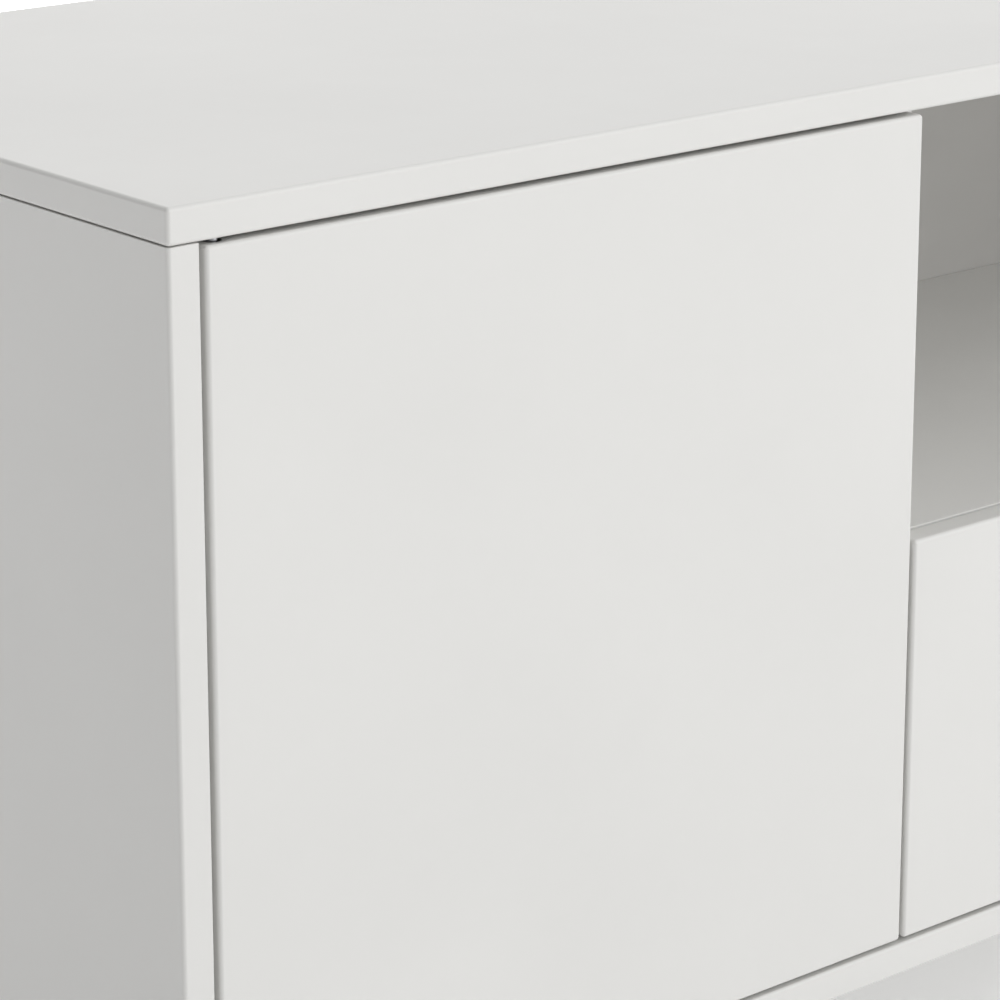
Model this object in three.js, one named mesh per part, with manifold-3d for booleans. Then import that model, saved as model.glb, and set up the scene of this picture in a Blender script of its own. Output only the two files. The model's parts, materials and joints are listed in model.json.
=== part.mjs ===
// TV stand with two doors, an open bay and a wide drawer: flat-pack board furniture, all sizes in millimetres.
// The frame has +X to the right, +Y to the back and +Z up, with the origin on the floor under the middle.
import * as THREE from "three";
import { mergeVertices } from "three/addons/utils/BufferGeometryUtils.js";
import { RoundedBoxGeometry } from "three/addons/geometries/RoundedBoxGeometry.js";
import Module from "manifold-3d";

// ---- Driving dimensions ----
const LENGTH = 1600;
const DEPTH = 420;
const HEIGHT = 450; // of the cabinet, without its legs
const CAP = 16; // top and bottom boards
const BOARD = 15; // sides, partitions, shelves, doors and the drawer front
const HARDBOARD = 3; // back panels and the drawer's bottom
const JOINT = 0.3; // hairline left between boards that touch
const EDGE_RADIUS = 2; // rounding of the boards' visible edges
const DOOR_LEAF = 407.5; // width of one door
const HINGE_GAP = 3.5; // beside the hinge edge of a door
const REVEAL = 2.2; // over and under the doors and the drawer front
const MEETING_GAP = 2.5; // between a door and the drawer front
const SHELF_TOP = 223.5; // floor of the open bay, level with the top of the drawer front
const BACK_INSET = 62; // cable space behind the open bay's back panel
const SIDE_BACK_INSET = 12; // from the rear edges to the cupboards' back panels
const GROOVE_DEPTH = 5;
const GROOVE_PLAY = 0.3; // each side of a panel in its groove
const CABLE_HOLE_RADIUS = 25;
const CABLE_HOLE_INSET = 70; // from the partitions
const BAY_HOLE_RISE = 45; // over the shelf
const CUPBOARD_HOLE_RISE = 60; // over the bottom board

// Hinge pins stand on an axis this far in from the door's hinge edge, at half its thickness.
const PIVOT_INSET = 8;
const PIN_RADIUS = 2.5;
const PIN_BARREL_RADIUS = 4;
const PIN_BARREL_LENGTH = 22;
const PIN_REACH = 7; // into the bush
const BUSH_RADIUS = 5;
const BUSH_DEPTH = 9;

const SHELF_PIN_RADIUS = 2.5;
const SHELF_PIN_LENGTH = 17;
const SHELF_PIN_DEPTH = 8; // in the board
const SHELF_PIN_PITCH = 64;
const SHELF_PIN_ROWS = [60, 350]; // from the front face
const CUPBOARD_SHELF_Z = 217; // underside of the loose shelf
const CUPBOARD_SHELF_FRONT = 28;
const CUPBOARD_SHELF_REAR = 398;

const DRAWER_SIDE = 12;
const DRAWER_LENGTH = 322;
const DRAWER_SIDE_BOTTOM = 49.8;
const DRAWER_SIDE_HEIGHT = 125;
const DRAWER_BOTTOM_RISE = 10; // the bottom's groove over the sides' lower edge
const RUNNER_SPACE = 13; // between a partition and the drawer's side
const STEEL = 1.2; // sheet of the runners
const RUNNER_LENGTH = 315;
const RUNNER_FRONT = 20;
const RUNNER_BASE = 28; // underside of the cabinet rail
const RUNNER_HEIGHT = 34;
const ROLLER_RADIUS = 9;
const ROLLER_WIDTH = 6;
const ROLLER_PLAY = 0.2;
const AXLE_RADIUS = 2.5;
const AXLE_HEAD = 1.5; // the head's overhang all round
const RAIL_FLANGE = 18; // height of the drawer rail's upright flange
const RAIL_EAR = 26; // length of the ear that carries the rear axle
const FRONT_ROLLER = 36; // from the front face
const REAR_ROLLER = 322;

const LATCH_WIDTH = 20;
const LATCH_HEIGHT = 18;
const LATCH_LENGTH = 74;
const LATCH_FRONT = 22;
const PLUNGER_RADIUS = 3.5;
const PLUNGER_LENGTH = 34;
const LATCH_TO_EDGE = 27; // from the door's free edge to the latch's middle
const STRIKE_RADIUS = 5;
const STRIKE = 1.2;

const LEG_HEIGHT = 100;
const LEG_TOP_RADIUS = 15;
const LEG_FOOT_RADIUS = 9;
const LEG_PLATE = 2.5; // thickness of the plate screwed under the bottom board
const LEG_PLATE_HALF = 30;
const GLIDE_RADIUS = 10;
const GLIDE = 4; // thickness of the foot's glide
const LEG_INSET_X = 60;
const LEG_INSET_Y = 60;

const CLEARANCE = 0.3;
const RUNNING = 0.08; // round a pin or axle that turns
const ROUND = 24; // sides of a small cylinder

// ---- Places worked out from them ----
const FRONT = -DEPTH / 2;
const SIDE_INNER = LENGTH / 2 - BOARD;
const DOOR_OUTER = SIDE_INNER - HINGE_GAP;
const DOOR_INNER = DOOR_OUTER - DOOR_LEAF;
const DRAWER_HALF = DOOR_INNER - MEETING_GAP;
const PARTITION_MIDDLE = DOOR_INNER - MEETING_GAP / 2;
const PARTITION_OUTER = PARTITION_MIDDLE + BOARD / 2;
const PARTITION_INNER = PARTITION_MIDDLE - BOARD / 2;
const INSIDE_FRONT = BOARD + 1.2; // fronts are BOARD thick, with play behind them
const CENTRE_BACK = DEPTH - BACK_INSET - HARDBOARD;
const SIDE_BACK = DEPTH - SIDE_BACK_INSET - HARDBOARD;
const UNDER_TOP = HEIGHT - CAP;
const FRONT_BOTTOM = CAP + REVEAL;
const DOOR_TOP = UNDER_TOP - REVEAL;
const PIVOT_X = DOOR_OUTER - PIVOT_INSET;
const PIVOT_DEPTH = BOARD / 2;
const DRAWER_OUTER = PARTITION_INNER - RUNNER_SPACE;

const WHITE = 0xe6e5e1;
const whiteFoil = new THREE.MeshStandardMaterial({ color: WHITE, roughness: 0.38, metalness: 0 });
const whiteHardboard = new THREE.MeshStandardMaterial({ color: 0xdedcd6, roughness: 0.6, metalness: 0 });
const whiteSteel = new THREE.MeshStandardMaterial({ color: 0xe0e0de, roughness: 0.4, metalness: 0.1 });
const zincSteel = new THREE.MeshStandardMaterial({ color: 0xb4b6b8, roughness: 0.3, metalness: 1 });
const nylon = new THREE.MeshStandardMaterial({ color: 0xecebe6, roughness: 0.5, metalness: 0 });
const greyPlastic = new THREE.MeshStandardMaterial({ color: 0xbfc0bf, roughness: 0.45, metalness: 0 });

// ---- Solids: three.js makes the shapes, manifold-3d joins and cuts them ----
const wasm = await Module();
wasm.setup();

function solid(geometry) {
  const bare = geometry.clone();
  bare.deleteAttribute("normal");
  bare.deleteAttribute("uv");
  const merged = mergeVertices(bare, 1e-4);
  return new wasm.Manifold(
    new wasm.Mesh({
      numProp: 3,
      vertProperties: merged.attributes.position.array,
      triVerts: new Uint32Array(merged.index.array),
    }),
  );
}

// A box between two x, two depths behind the front face and two heights, given in either order.
function box([x0, x1], [d0, d1], [z0, z1]) {
  const shape = new THREE.BoxGeometry(Math.abs(x1 - x0), Math.abs(d1 - d0), Math.abs(z1 - z0));
  return solid(shape.translate((x0 + x1) / 2, FRONT + (d0 + d1) / 2, (z0 + z1) / 2));
}

function roundedBox([x0, x1], [d0, d1], [z0, z1]) {
  const sizes = [Math.abs(x1 - x0), Math.abs(d1 - d0), Math.abs(z1 - z0)];
  const shape = new RoundedBoxGeometry(...sizes, 2, EDGE_RADIUS);
  return solid(shape.translate((x0 + x1) / 2, FRONT + (d0 + d1) / 2, (z0 + z1) / 2));
}

// A cylinder along x, y or z, centred at x, a depth behind the front face and z.
function rod(axis, radius, length, [x, depth, z], sides = ROUND) {
  const shape = new THREE.CylinderGeometry(radius, radius, length, sides);
  if (axis === "x") shape.rotateZ(Math.PI / 2);
  if (axis === "z") shape.rotateX(Math.PI / 2);
  return solid(shape.translate(x, FRONT + depth, z));
}

const cut = (body, tools) => tools.reduce((left, tool) => left.subtract(tool), body);
const join = (pieces) => pieces.reduce((whole, piece) => whole.add(piece));

const stand = new THREE.Group();

// Adds a solid as a named mesh, its own origin in the middle of its box, and lifts it over the legs.
function part(name, body, material, parent = stand) {
  const found = body.getMesh();
  const geometry = new THREE.BufferGeometry();
  geometry.setAttribute("position", new THREE.BufferAttribute(new Float32Array(found.vertProperties), 3));
  geometry.setIndex(new THREE.BufferAttribute(new Uint32Array(found.triVerts), 1));
  geometry.computeBoundingBox();
  const middle = geometry.boundingBox.getCenter(new THREE.Vector3());
  geometry.translate(-middle.x, -middle.y, -middle.z);
  geometry.computeVertexNormals();
  const mesh = new THREE.Mesh(geometry, material);
  mesh.name = name;
  mesh.position.set(middle.x, middle.y, middle.z + LEG_HEIGHT);
  parent.add(mesh);
}

const SIDES = [
  ["left", -1],
  ["right", 1],
];

// ---- Cuts that several boards share ----
const groove = (at) => [at - GROOVE_PLAY, at + HARDBOARD + GROOVE_PLAY];

// Grooves across the cap boards for the three back panels; z is the face and inwards its direction.
function capGrooves(z, inwards) {
  const heights = [z - inwards, z + inwards * GROOVE_DEPTH];
  const centre = PARTITION_INNER + GROOVE_DEPTH;
  const cuts = [box([-centre, centre], groove(CENTRE_BACK), heights)];
  for (const [, s] of SIDES) {
    const span = [s * (PARTITION_OUTER - GROOVE_DEPTH), s * (SIDE_INNER + GROOVE_DEPTH)];
    cuts.push(box(span, groove(SIDE_BACK), heights));
  }
  return cuts;
}

// Blind holes for the loose shelf's pins in a board face at x, drilled towards the direction given.
function shelfPinHoles(x, direction) {
  const holes = [];
  const depth = SHELF_PIN_DEPTH + 1;
  for (const row of SHELF_PIN_ROWS)
    for (const step of [-1, 0, 1]) {
      const z = CUPBOARD_SHELF_Z - SHELF_PIN_RADIUS - CLEARANCE + step * SHELF_PIN_PITCH;
      const middle = x + (direction * (depth - 1)) / 2;
      holes.push(rod("x", SHELF_PIN_RADIUS + 0.15, depth + 1, [middle, row, z], 12));
    }
  return holes;
}

// ---- Carcass boards ----
function topPanel() {
  const half = LENGTH / 2;
  const board = roundedBox([-half, half], [0, DEPTH], [UNDER_TOP, HEIGHT]);
  const bushHoles = SIDES.map(([, s]) =>
    rod("z", BUSH_RADIUS + CLEARANCE, BUSH_DEPTH + 2, [s * PIVOT_X, PIVOT_DEPTH, UNDER_TOP + BUSH_DEPTH / 2]),
  );
  part("top_panel", cut(board, [...capGrooves(UNDER_TOP, 1), ...bushHoles]), whiteFoil);
}

function bottomPanel() {
  const half = SIDE_INNER - JOINT;
  // The outline of the board's section: depth behind the front face against height, with a rounded front.
  const outline = new THREE.Shape();
  outline.moveTo(DEPTH - 2, 0);
  outline.lineTo(DEPTH - 2, CAP);
  outline.lineTo(EDGE_RADIUS, CAP);
  outline.absarc(EDGE_RADIUS, CAP - EDGE_RADIUS, EDGE_RADIUS, Math.PI / 2, Math.PI, false);
  outline.lineTo(0, 1);
  outline.lineTo(1, 0);
  const shape = new THREE.ExtrudeGeometry(outline, { depth: 2 * half, bevelEnabled: false, curveSegments: 4 });
  // The section's x runs to the back, its y up, and the extrusion along the stand.
  shape.applyMatrix4(new THREE.Matrix4().set(0, 0, 1, -half, 1, 0, 0, FRONT, 0, 1, 0, 0, 0, 0, 0, 1));
  const bushHoles = SIDES.map(([, s]) =>
    rod("z", BUSH_RADIUS + CLEARANCE, BUSH_DEPTH + 2, [s * PIVOT_X, PIVOT_DEPTH, CAP - BUSH_DEPTH / 2]),
  );
  part("bottom_panel", cut(solid(shape), [...capGrooves(CAP, -1), ...bushHoles]), whiteFoil);
}

function sidePanel(side, s) {
  // Plan of the board: the outer edges are rounded and the inner ones left square.
  const outline = new THREE.Shape();
  outline.moveTo(0, 0);
  outline.lineTo(BOARD - EDGE_RADIUS, 0);
  outline.absarc(BOARD - EDGE_RADIUS, EDGE_RADIUS, EDGE_RADIUS, -Math.PI / 2, 0, false);
  outline.lineTo(BOARD, DEPTH - EDGE_RADIUS);
  outline.absarc(BOARD - EDGE_RADIUS, DEPTH - EDGE_RADIUS, EDGE_RADIUS, 0, Math.PI / 2, false);
  outline.lineTo(0, DEPTH);
  const height = UNDER_TOP - JOINT;
  const shape = new THREE.ExtrudeGeometry(outline, { depth: height, bevelEnabled: false, curveSegments: 4 });
  shape.translate(SIDE_INNER, FRONT, 0);
  const right = cut(solid(shape), [
    box([SIDE_INNER - 1, SIDE_INNER + GROOVE_DEPTH], groove(SIDE_BACK), [CAP - GROOVE_DEPTH, HEIGHT]),
    ...shelfPinHoles(SIDE_INNER, 1),
  ]);
  part(`${side}_side_panel`, s > 0 ? right : right.mirror([1, 0, 0]), whiteFoil);
}

function partition(side, s) {
  const heights = [CAP + JOINT, UNDER_TOP - JOINT];
  const right = cut(box([PARTITION_INNER, PARTITION_OUTER], [INSIDE_FRONT, DEPTH - 2], heights), [
    box([PARTITION_OUTER - GROOVE_DEPTH, PARTITION_OUTER + 1], groove(SIDE_BACK), [0, HEIGHT]),
    box([PARTITION_INNER - 1, PARTITION_INNER + GROOVE_DEPTH], groove(CENTRE_BACK), [0, HEIGHT]),
    ...shelfPinHoles(PARTITION_OUTER, -1),
  ]);
  part(`${side}_partition`, s > 0 ? right : right.mirror([1, 0, 0]), whiteFoil);
}

function centreShelf() {
  const half = PARTITION_INNER - JOINT;
  const heights = [SHELF_TOP - BOARD, SHELF_TOP];
  part("centre_shelf", box([-half, half], [INSIDE_FRONT, CENTRE_BACK - JOINT], heights), whiteFoil);
}

function backPanels() {
  const heights = [CAP - GROOVE_DEPTH + 1, UNDER_TOP + GROOVE_DEPTH - 1];
  const half = PARTITION_INNER + GROOVE_DEPTH - 1;
  const holes = SIDES.map(([, s]) => {
    const x = s * (PARTITION_INNER - CABLE_HOLE_INSET);
    return rod("y", CABLE_HOLE_RADIUS, 30, [x, CENTRE_BACK, SHELF_TOP + BAY_HOLE_RISE]);
  });
  const centre = box([-half, half], [CENTRE_BACK, CENTRE_BACK + HARDBOARD], heights);
  part("centre_back_panel", cut(centre, holes), whiteHardboard);
  for (const [side, s] of SIDES) {
    const span = [s * (PARTITION_OUTER - GROOVE_DEPTH + 1), s * (SIDE_INNER + GROOVE_DEPTH - 1)];
    const place = [s * (PARTITION_OUTER + CABLE_HOLE_INSET), SIDE_BACK, CAP + CUPBOARD_HOLE_RISE];
    const hole = rod("y", CABLE_HOLE_RADIUS, 30, place);
    const panel = box(span, [SIDE_BACK, SIDE_BACK + HARDBOARD], heights);
    part(`${side}_back_panel`, cut(panel, [hole]), whiteHardboard);
  }
}

function cupboardShelf(side, s) {
  const span = [s * (PARTITION_OUTER + 1), s * (SIDE_INNER - 1)];
  const heights = [CUPBOARD_SHELF_Z, CUPBOARD_SHELF_Z + BOARD];
  const depths = [CUPBOARD_SHELF_FRONT, CUPBOARD_SHELF_REAR];
  part(`${side}_cupboard_shelf`, box(span, depths, heights), whiteFoil);
  const z = CUPBOARD_SHELF_Z - SHELF_PIN_RADIUS - CLEARANCE;
  const offset = SHELF_PIN_LENGTH / 2 - SHELF_PIN_DEPTH;
  for (const [row, depth] of [
    ["front", SHELF_PIN_ROWS[0]],
    ["rear", SHELF_PIN_ROWS[1]],
  ]) {
    const outer = rod("x", SHELF_PIN_RADIUS, SHELF_PIN_LENGTH, [s * (SIDE_INNER - offset), depth, z], 12);
    const inner = rod("x", SHELF_PIN_RADIUS, SHELF_PIN_LENGTH, [s * (PARTITION_OUTER + offset), depth, z], 12);
    part(`shelf_pin_${side}_outer_${row}`, outer, zincSteel);
    part(`shelf_pin_${side}_inner_${row}`, inner, zincSteel);
  }
}

// A tapered leg with the plate that screws it under the bottom board and the glide it stands on.
function leg(name, x, depth) {
  const length = LEG_HEIGHT - GLIDE;
  const taper = new THREE.CylinderGeometry(LEG_TOP_RADIUS, LEG_FOOT_RADIUS, length, ROUND);
  const shaft = solid(taper.rotateX(Math.PI / 2).translate(x, FRONT + depth, -length / 2));
  const half = LEG_PLATE_HALF;
  const plate = box([x - half, x + half], [depth - half, depth + half], [-LEG_PLATE, 0]);
  const glide = rod("z", GLIDE_RADIUS, GLIDE + CLEARANCE, [x, depth, -LEG_HEIGHT + (GLIDE + CLEARANCE) / 2]);
  part(name, join([shaft, plate, glide]), whiteSteel);
}

function legs() {
  for (const [side, s] of SIDES) {
    const x = s * (SIDE_INNER - LEG_INSET_X);
    leg(`leg_front_${side}`, x, LEG_INSET_Y);
    leg(`leg_rear_${side}`, x, DEPTH - LEG_INSET_Y);
    leg(`leg_middle_${side}`, s * PARTITION_MIDDLE, DEPTH / 2);
  }
}

// ---- Doors on their pins ----
const latchX = (s) => s * (DOOR_INNER + LATCH_TO_EDGE);
const latchZ = (under) => under - JOINT - LATCH_HEIGHT / 2;

// The pocket, and with no play the steel disc in it, that a latch's magnet holds.
function strike(x, z, play) {
  const depth = BOARD - STRIKE / 2;
  return rod("y", STRIKE_RADIUS + play, STRIKE + play, [x, depth + (play ? 0 : -0.1), z]);
}

function door(side, s) {
  const leaf = roundedBox([s * DOOR_INNER, s * DOOR_OUTER], [0, BOARD], [FRONT_BOTTOM, DOOR_TOP]);
  const barrel = PIN_BARREL_LENGTH + CLEARANCE;
  const pinHoles = [DOOR_TOP - barrel / 2 + 1, FRONT_BOTTOM + barrel / 2 - 1].map((z) =>
    rod("z", PIN_BARREL_RADIUS + CLEARANCE, barrel + 2, [s * PIVOT_X, PIVOT_DEPTH, z]),
  );
  const pocket = strike(latchX(s), latchZ(UNDER_TOP), CLEARANCE);
  part(`${side}_door`, cut(leaf, [...pinHoles, pocket]), whiteFoil);
  part(`strike_plate_${side}`, strike(latchX(s), latchZ(UNDER_TOP), 0), zincSteel);
}

// One hinge pin and the bush it turns in; up is 1 at the top of the door and -1 at its foot.
function hinge(side, s, end, up) {
  const edge = up > 0 ? DOOR_TOP : FRONT_BOTTOM;
  const face = up > 0 ? UNDER_TOP : CAP;
  const at = (z) => [s * PIVOT_X, PIVOT_DEPTH, z];
  const tipLength = REVEAL + PIN_REACH;
  const pin = join([
    rod("z", PIN_BARREL_RADIUS, PIN_BARREL_LENGTH, at(edge - (up * PIN_BARREL_LENGTH) / 2)),
    rod("z", PIN_RADIUS, tipLength + 2, at(edge + up * (tipLength / 2 - 1))),
  ]);
  part(`hinge_pin_${end}_${side}`, pin, zincSteel);
  const sleeveLength = BUSH_DEPTH - CLEARANCE;
  const sleeve = rod("z", BUSH_RADIUS, sleeveLength, at(face + (up * sleeveLength) / 2));
  const bore = rod("z", PIN_RADIUS + RUNNING, 2 * PIN_REACH + 2 * CLEARANCE, at(face));
  part(`hinge_bush_${end}_${side}`, sleeve.subtract(bore), nylon);
}

// ---- Push latches: a case with a sliding, sprung plunger ----
function latch(name, x, under) {
  const z = latchZ(under);
  const widths = [x - LATCH_WIDTH / 2, x + LATCH_WIDTH / 2];
  const heights = [z - LATCH_HEIGHT / 2, z + LATCH_HEIGHT / 2];
  const shell = box(widths, [LATCH_FRONT, LATCH_FRONT + LATCH_LENGTH], heights);
  const stem = BOARD + CLEARANCE;
  const bore = rod("y", PLUNGER_RADIUS + CLEARANCE, PLUNGER_LENGTH + 16, [x, stem + PLUNGER_LENGTH / 2, z]);
  part(`latch_case_${name}`, shell.subtract(bore), greyPlastic);
  const plunger = rod("y", PLUNGER_RADIUS, PLUNGER_LENGTH, [x, stem + PLUNGER_LENGTH / 2, z]);
  part(`latch_plunger_${name}`, plunger, nylon);
}

// ---- Drawer ----
function drawer() {
  const sideTop = DRAWER_SIDE_BOTTOM + DRAWER_SIDE_HEIGHT;
  const boxFront = BOARD + CLEARANCE;
  const boxRear = boxFront + DRAWER_LENGTH;
  const inner = DRAWER_OUTER - DRAWER_SIDE;
  const bottomZ = DRAWER_SIDE_BOTTOM + DRAWER_BOTTOM_RISE;
  const front = roundedBox([-DRAWER_HALF, DRAWER_HALF], [0, BOARD], [FRONT_BOTTOM, SHELF_TOP]);
  const frontCuts = [
    box([-inner - GROOVE_DEPTH, inner + GROOVE_DEPTH], [BOARD - GROOVE_DEPTH, BOARD + 1], groove(bottomZ)),
    strike(0, latchZ(SHELF_TOP - BOARD), CLEARANCE),
  ];
  part("drawer_front", cut(front, frontCuts), whiteFoil);
  part("strike_plate_drawer", strike(0, latchZ(SHELF_TOP - BOARD), 0), zincSteel);
  for (const [side, s] of SIDES) {
    const wall = box([s * inner, s * DRAWER_OUTER], [boxFront, boxRear], [DRAWER_SIDE_BOTTOM, sideTop]);
    const slot = box([s * (inner - 1), s * (inner + GROOVE_DEPTH)], [0, DEPTH], groove(bottomZ));
    part(`drawer_side_${side}`, wall.subtract(slot), whiteFoil);
  }
  const back = [-inner + JOINT, inner - JOINT];
  const backHeights = [bottomZ + HARDBOARD + JOINT, sideTop];
  part("drawer_back", box(back, [boxRear - DRAWER_SIDE, boxRear], backHeights), whiteFoil);
  const tray = inner + GROOVE_DEPTH - 1;
  const trayDepths = [BOARD - GROOVE_DEPTH + 1, boxRear - 1];
  part("drawer_bottom", box([-tray, tray], trayDepths, [bottomZ, bottomZ + HARDBOARD]), whiteHardboard);
}

// Roller runners of bent sheet: one rail on the partition, one under the drawer's side.
function runner(side, s) {
  const wall = PARTITION_INNER - JOINT;
  const rear = RUNNER_FRONT + RUNNER_LENGTH;
  const depths = [RUNNER_FRONT, rear];
  const web = [wall - STEEL, wall];
  const lane = [DRAWER_OUTER + 3, DRAWER_OUTER + 3 + ROLLER_WIDTH];
  const laneMiddle = (lane[0] + lane[1]) / 2;
  const track = RUNNER_BASE + STEEL;
  const rearAxle = track + ROLLER_PLAY + ROLLER_RADIUS;
  const flange = rearAxle + ROLLER_RADIUS + 0.8;
  const frontAxle = flange - ROLLER_PLAY - ROLLER_RADIUS;
  const head = 1;

  const cabinetRail = join([
    box(web, depths, [RUNNER_BASE, RUNNER_BASE + RUNNER_HEIGHT]),
    box([lane[0] - 1, wall], depths, [RUNNER_BASE, track]),
    box([wall - 6, wall], depths, [RUNNER_BASE + RUNNER_HEIGHT - STEEL, RUNNER_BASE + RUNNER_HEIGHT]),
    rod("x", AXLE_RADIUS, wall - lane[0] + CLEARANCE, [
      (wall + lane[0] - CLEARANCE) / 2,
      FRONT_ROLLER,
      frontAxle,
    ]),
    rod("x", AXLE_RADIUS + AXLE_HEAD, head, [lane[0] - CLEARANCE - head / 2, FRONT_ROLLER, frontAxle]),
  ]);
  const drawerWeb = [DRAWER_OUTER + JOINT, DRAWER_OUTER + JOINT + STEEL];
  const drawerRail = join([
    box([DRAWER_OUTER - DRAWER_SIDE + 1, lane[1]], depths, [flange, flange + STEEL]),
    box(drawerWeb, depths, [flange, flange + RAIL_FLANGE]),
    box(drawerWeb, [rear - RAIL_EAR, rear], [rearAxle - 5, flange + STEEL]),
    rod("x", AXLE_RADIUS, lane[1] - drawerWeb[0] + CLEARANCE, [
      (lane[1] + drawerWeb[0] + CLEARANCE) / 2,
      REAR_ROLLER,
      rearAxle,
    ]),
    rod("x", AXLE_RADIUS + AXLE_HEAD, head, [lane[1] + CLEARANCE + head / 2, REAR_ROLLER, rearAxle]),
  ]);
  const roller = (depth, z) =>
    rod("x", ROLLER_RADIUS, ROLLER_WIDTH - CLEARANCE, [laneMiddle, depth, z], 32).subtract(
      rod("x", AXLE_RADIUS + RUNNING, ROLLER_WIDTH + 2, [laneMiddle, depth, z]),
    );
  const made = [
    [`runner_cabinet_${side}`, cabinetRail, whiteSteel],
    [`runner_drawer_${side}`, drawerRail, whiteSteel],
    [`roller_front_${side}`, roller(FRONT_ROLLER, frontAxle), nylon],
    [`roller_rear_${side}`, roller(REAR_ROLLER, rearAxle), nylon],
  ];
  for (const [name, body, material] of made) part(name, s > 0 ? body : body.mirror([1, 0, 0]), material);
}

// ---- The stand ----
topPanel();
bottomPanel();
centreShelf();
backPanels();
legs();
drawer();
latch("drawer", 0, SHELF_TOP - BOARD);
for (const [side, s] of SIDES) {
  sidePanel(side, s);
  partition(side, s);
  cupboardShelf(side, s);
  door(side, s);
  hinge(side, s, "upper", 1);
  hinge(side, s, "lower", -1);
  latch(side, latchX(s), UNDER_TOP);
  runner(side, s);
}

export default stand;
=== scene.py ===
# Looks of the TV stand: bevelled boards, turned legs and screws over the fixed frame, in metres.
import json
import math

import bmesh
import bpy
from mathutils import Matrix, Vector


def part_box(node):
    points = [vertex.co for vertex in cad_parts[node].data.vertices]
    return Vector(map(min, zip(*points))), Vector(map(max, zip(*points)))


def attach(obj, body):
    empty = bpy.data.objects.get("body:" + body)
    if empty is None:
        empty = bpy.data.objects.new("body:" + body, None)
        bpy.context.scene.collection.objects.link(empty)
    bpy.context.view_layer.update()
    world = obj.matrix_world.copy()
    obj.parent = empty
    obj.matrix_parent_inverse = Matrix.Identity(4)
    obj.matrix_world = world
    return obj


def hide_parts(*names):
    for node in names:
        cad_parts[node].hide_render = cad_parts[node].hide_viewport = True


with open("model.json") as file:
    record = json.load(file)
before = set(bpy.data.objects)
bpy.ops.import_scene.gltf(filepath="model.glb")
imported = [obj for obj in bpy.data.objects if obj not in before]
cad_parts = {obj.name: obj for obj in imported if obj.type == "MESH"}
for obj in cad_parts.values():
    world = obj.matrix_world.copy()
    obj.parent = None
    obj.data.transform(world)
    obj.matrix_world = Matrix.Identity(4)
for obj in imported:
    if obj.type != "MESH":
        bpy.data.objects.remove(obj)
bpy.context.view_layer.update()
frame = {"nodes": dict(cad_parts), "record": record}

BOARD_RADIUS = 0.002
BOARD_SEGMENTS = 5
SHARP_BOARD_RADIUS = 0.0008
GLIDE_RADIUS = 0.01
GLIDE_HEIGHT = 0.004
PLATE = 0.0025  # thickness of a leg's plate
PLATE_SCREW = 0.024  # from the plate's middle, both ways
EASED_EDGE = 0.0004
CAMERA_PLACE = (-1.6032, -1.3743, 0.8749)
CAMERA_DOWN = 14.409
CAMERA_TURN = -39.886
CAMERA_LENS = 133.15  # millimetres, on a 36 mm sensor
CAMERA_SHIFT = -0.2
SKY_GREY = (0.87, 0.87, 0.87, 1)
SKY_LEFT = 0.09  # strength of the sky far to the left, where it is 1 elsewhere
# Painted light: the floor glows this much, though it is no lamp, lifting the shade on the floor under the
# cabinet.
FLOOR_GLOW = 0.14
SHELF_CAP_INSET = 0.034
SIDES = (("left", -1), ("right", 1))


# ---- Materials ----
def surface(name, colour, roughness, metallic=0.0, grain=700.0, bump=0.05, mottle=0.015, stretch=(1, 1, 1)):
    """A finish with fine relief, a slow drift of tone and patches of different gloss."""
    made = bpy.data.materials.new(name)
    made.use_nodes = True
    nodes, links = made.node_tree.nodes, made.node_tree.links
    shader = nodes["Principled BSDF"]
    shader.inputs["Metallic"].default_value = metallic
    place = nodes.new("ShaderNodeTexCoord")
    mapping = nodes.new("ShaderNodeMapping")
    mapping.inputs["Scale"].default_value = stretch
    links.new(place.outputs["Object"], mapping.inputs["Vector"])

    def noise(scale, detail):
        texture = nodes.new("ShaderNodeTexNoise")
        texture.inputs["Scale"].default_value = scale
        texture.inputs["Detail"].default_value = detail
        links.new(mapping.outputs["Vector"], texture.inputs["Vector"])
        return texture.outputs["Fac"]

    relief = nodes.new("ShaderNodeBump")
    relief.inputs["Strength"].default_value = bump
    relief.inputs["Distance"].default_value = 0.0002
    links.new(noise(grain, 3), relief.inputs["Height"])
    links.new(relief.outputs["Normal"], shader.inputs["Normal"])

    tone = nodes.new("ShaderNodeValToRGB")
    low, high = tone.color_ramp.elements
    low.position, high.position = 0.3, 0.7
    low.color = (*[c * (1 - mottle) for c in colour], 1)
    high.color = (*[min(1, c * (1 + mottle)) for c in colour], 1)
    links.new(noise(6, 4), tone.inputs["Fac"])
    links.new(tone.outputs["Color"], shader.inputs["Base Color"])

    gloss = nodes.new("ShaderNodeMapRange")
    gloss.inputs["To Min"].default_value = roughness - 0.04
    gloss.inputs["To Max"].default_value = roughness + 0.04
    links.new(noise(40, 5), gloss.inputs["Value"])
    links.new(gloss.outputs["Result"], shader.inputs["Roughness"])
    return made


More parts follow.
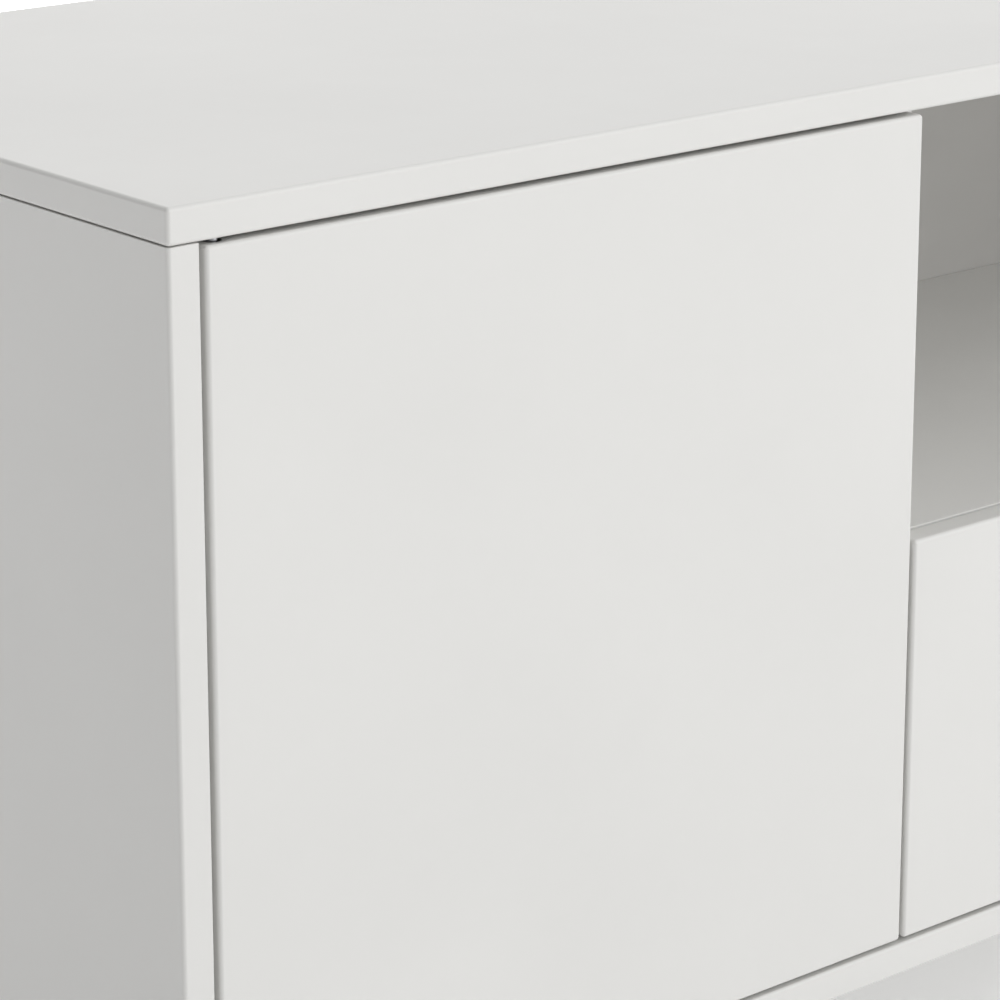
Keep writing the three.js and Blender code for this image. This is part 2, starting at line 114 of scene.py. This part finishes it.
FINISHES = {
    "white_foil": surface("white_foil", (0.79, 0.785, 0.765), 0.36, grain=900, bump=0.06),
    "white_hardboard": surface(
        "white_hardboard", (0.58, 0.57, 0.55), 0.6, grain=500, bump=0.25, stretch=(1, 1, 3)
    ),
    "white_steel": surface("white_steel", (0.76, 0.76, 0.75), 0.42, grain=1600, bump=0.2),
    "zinc_steel": surface("zinc_steel", (0.62, 0.63, 0.65), 0.3, 1.0, grain=1200, bump=0.15, mottle=0.08),
    "nylon": surface("nylon", (0.8, 0.8, 0.76), 0.5, grain=400, bump=0.1),
    "grey_plastic": surface("grey_plastic", (0.5, 0.5, 0.5), 0.45, grain=1500, bump=0.3),
    "black_plastic": surface("black_plastic", (0.02, 0.02, 0.02), 0.6, grain=1500, bump=0.3),
}
SLOTS = {entry["node"]: entry["material_slot"] for entry in frame["record"]["subparts"]}
BODY_OF = {node: body for body, listed in frame["record"]["behaviour"]["bodies"].items() for node in listed}


# ---- Shapes ----
def piece(name, mesh_data, body, slot):
    obj = bpy.data.objects.new(name, bpy.data.meshes.new(name))
    mesh_data.to_mesh(obj.data)
    mesh_data.free()
    bpy.context.collection.objects.link(obj)
    for face in obj.data.polygons:
        face.use_smooth = True
    obj.data.materials.append(FINISHES[slot])
    obj.modifiers.new("flat_faces", "WEIGHTED_NORMAL").weight = 100
    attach(obj, body)
    return obj


def rounded_block(name, low, high, body, slot, radius):
    block = bmesh.new()
    middle = (Vector(low) + Vector(high)) / 2
    size = Vector(high) - Vector(low)
    bmesh.ops.create_cube(block, size=1, matrix=Matrix.Translation(middle) @ Matrix.Diagonal((*size, 1)))
    bmesh.ops.bevel(
        block, geom=block.edges[:], offset=radius, segments=BOARD_SEGMENTS, profile=0.5, affect="EDGES"
    )
    return piece(name, block, body, slot)


def board(node, radius):
    low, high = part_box(node)
    made = rounded_block(f"{node}.board", low, high, BODY_OF[node], SLOTS[node], radius)
    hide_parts(node)


def turned(name, profile, centre, axis, body, slot, sides=40):
    """A solid of revolution: profile is (radius, height) pairs along axis from the centre."""
    shape = bmesh.new()
    turn = Vector((0, 0, 1)).rotation_difference(Vector(axis)).to_matrix()
    rings = []
    for radius, height in profile:
        ring = []
        for step in range(sides):
            angle = 2 * math.pi * step / sides
            point = Vector((radius * math.cos(angle), radius * math.sin(angle), height))
            ring.append(shape.verts.new(Vector(centre) + turn @ point))
        rings.append(ring)
    for lower, upper in zip(rings, rings[1:]):
        for step in range(sides):
            after = (step + 1) % sides
            shape.faces.new((lower[step], lower[after], upper[after], upper[step]))
    shape.faces.new(list(reversed(rings[0])))
    shape.faces.new(rings[-1])
    return piece(name, shape, body, slot)


# Radius and height round a pan head, in to the bottom of its recess.
SCREW = (
    (0.0034, 0),
    (0.0034, 0.0006),
    (0.0029, 0.0013),
    (0.0018, 0.0017),
    (0.0013, 0.0017),
    (0.0011, 0.0007),
)


def screw(name, centre, axis, body):
    turned(name, SCREW, centre, axis, body, "zinc_steel", sides=20)


# ---- Boards ----
for node, radius in {
    "top_panel": BOARD_RADIUS,
    "bottom_panel": 0.0015,
    "left_door": BOARD_RADIUS,
    "right_door": BOARD_RADIUS,
    "drawer_front": BOARD_RADIUS,
    "centre_shelf": 0.0006,
    "left_cupboard_shelf": SHARP_BOARD_RADIUS,
    "right_cupboard_shelf": SHARP_BOARD_RADIUS,
    "drawer_side_left": SHARP_BOARD_RADIUS,
    "drawer_side_right": SHARP_BOARD_RADIUS,
    "drawer_back": SHARP_BOARD_RADIUS,
}.items():
    board(node, radius)

# ---- Legs: a turned taper, its plate, its glide and four screws ----
for node in [name for name in SLOTS if name.startswith("leg_")]:
    low, high = (Vector(corner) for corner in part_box(node))
    x, y = (low.x + high.x) / 2, (low.y + high.y) / 2
    top = high.z - PLATE
    taper = turned(
        f"{node}.taper",
        ((0.0088, 0.004), (0.009, 0.0045), (0.015, top - 0.0005), (0.0148, top)),
        (x, y, 0),
        (0, 0, 1),
        "cabinet",
        "white_steel",
    )
    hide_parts(node)
    rounded_block(f"{node}.plate", (low.x, low.y, top), high, "cabinet", "white_steel", 0.0006)
    glide = ((GLIDE_RADIUS - 0.0005, 0), (GLIDE_RADIUS, 0.0005), (GLIDE_RADIUS, GLIDE_HEIGHT))
    turned(f"{node}.glide", glide, (x, y, 0), (0, 0, 1), "cabinet", "black_plastic")
    for across, along in ((-1, -1), (-1, 1), (1, -1), (1, 1)):
        place = (x + across * PLATE_SCREW, y + along * PLATE_SCREW, top)
        screw(f"{node}.screw", place, (0, 0, -1), "cabinet")

# ---- Screws and cover caps ----
for side, s in SIDES:
    low, high = (Vector(corner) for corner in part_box(f"runner_cabinet_{side}"))
    wall = high.x if s > 0 else low.x
    for depth in (0.04, 0.15, 0.27):
        centre = (wall - s * 0.0012, low.y + depth, low.z + 0.024)
        screw(f"runner_{side}.screw", centre, (-s, 0, 0), "cabinet")
for name in ("left", "right", "drawer"):
    low, high = (Vector(corner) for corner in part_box(f"latch_case_{name}"))
    for depth in (0.045, 0.066):
        place = ((low.x + high.x) / 2, low.y + depth, low.z)
        screw(f"latch_{name}.screw", place, (0, 0, -1), "cabinet")
CAP = ((0.009, 0), (0.009, 0.0004), (0.0083, 0.0009))
shelf_low, shelf_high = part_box("centre_shelf")
for side, s in SIDES:
    for depth in (0.05, 0.28):
        centre = (s * (shelf_high[0] - SHELF_CAP_INSET), shelf_low[1] + depth, shelf_low[2])
        turned(f"shelf_cap_{side}", CAP, centre, (0, 0, -1), "cabinet", "nylon")

# ---- The CAD pieces that show as they are ----
for node, obj in frame["nodes"].items():
    obj.data.materials.clear()
    obj.data.materials.append(FINISHES[SLOTS[node]])
    if node.endswith(("side_panel", "partition")):
        # The drilled boards keep their own holes and get eased edges.
        for face in obj.data.polygons:
            face.use_smooth = True
        obj.modifiers.new("joined", "WELD").merge_threshold = 0.00002
        eased = obj.modifiers.new("eased", "BEVEL")
        eased.width = EASED_EDGE
        eased.segments = 2
        eased.limit_method = "ANGLE"
        eased.angle_limit = math.radians(40)
        obj.modifiers.new("flat_faces", "WEIGHTED_NORMAL").weight = 100

# ---- Floor, light and camera ----
bpy.ops.mesh.primitive_plane_add(size=40)
floor = bpy.context.object
floor.name = "floor"
# The floor glows faintly: painted light that lifts the shade on the floor under the cabinet and keeps the
# floor behind white.
pale = surface("pale_floor", (0.9, 0.9, 0.9), 0.8, grain=60, bump=0.02, mottle=0.004)
pale.node_tree.nodes["Principled BSDF"].inputs["Emission Color"].default_value = (1, 1, 1, 1)
pale.node_tree.nodes["Principled BSDF"].inputs["Emission Strength"].default_value = FLOOR_GLOW
floor.data.materials.append(pale)

world = bpy.data.worlds.new("studio")
bpy.context.scene.world = world
world.use_nodes = True
sky = world.node_tree
direction = sky.nodes.new("ShaderNodeTexCoord")
axes = sky.nodes.new("ShaderNodeSeparateXYZ")
fade = sky.nodes.new("ShaderNodeMapRange")
fade.inputs["From Min"].default_value = -1
fade.inputs["From Max"].default_value = 0.1
fade.inputs["To Min"].default_value = SKY_LEFT
fade.inputs["To Max"].default_value = 1.0
sky.nodes["Background"].inputs["Color"].default_value = SKY_GREY
sky.links.new(direction.outputs["Generated"], axes.inputs["Vector"])
sky.links.new(axes.outputs["X"], fade.inputs["Value"])
sky.links.new(fade.outputs["Result"], sky.nodes["Background"].inputs["Strength"])


def softbox(name, place, target, size, watts):
    light = bpy.data.lights.new(name, "AREA")
    light.size = size
    light.energy = watts
    lamp = bpy.data.objects.new(name, light)
    lamp.location = place
    lamp.rotation_euler = (Vector(target) - Vector(place)).to_track_quat("-Z", "Y").to_euler()
    bpy.context.collection.objects.link(lamp)
    return lamp


softbox("key", (1.1, -2.4, 1.6), (-0.2, 0, 0.35), 2.6, 27)
# This one only whitens the floor behind, so it makes no shine on the top.
softbox("over_floor", (1.5, 4.0, 2.5), (1.5, 4.6, 0), 3.0, 320).visible_glossy = False

camera = bpy.data.objects.new("camera", bpy.data.cameras.new("camera"))
camera.location = CAMERA_PLACE
camera.rotation_euler = (math.radians(90 - CAMERA_DOWN), 0, math.radians(CAMERA_TURN))
camera.data.sensor_width = 36
camera.data.lens = CAMERA_LENS
camera.data.shift_y = CAMERA_SHIFT
bpy.context.collection.objects.link(camera)
bpy.context.scene.camera = camera
bpy.context.scene.view_settings.view_transform = "Standard"
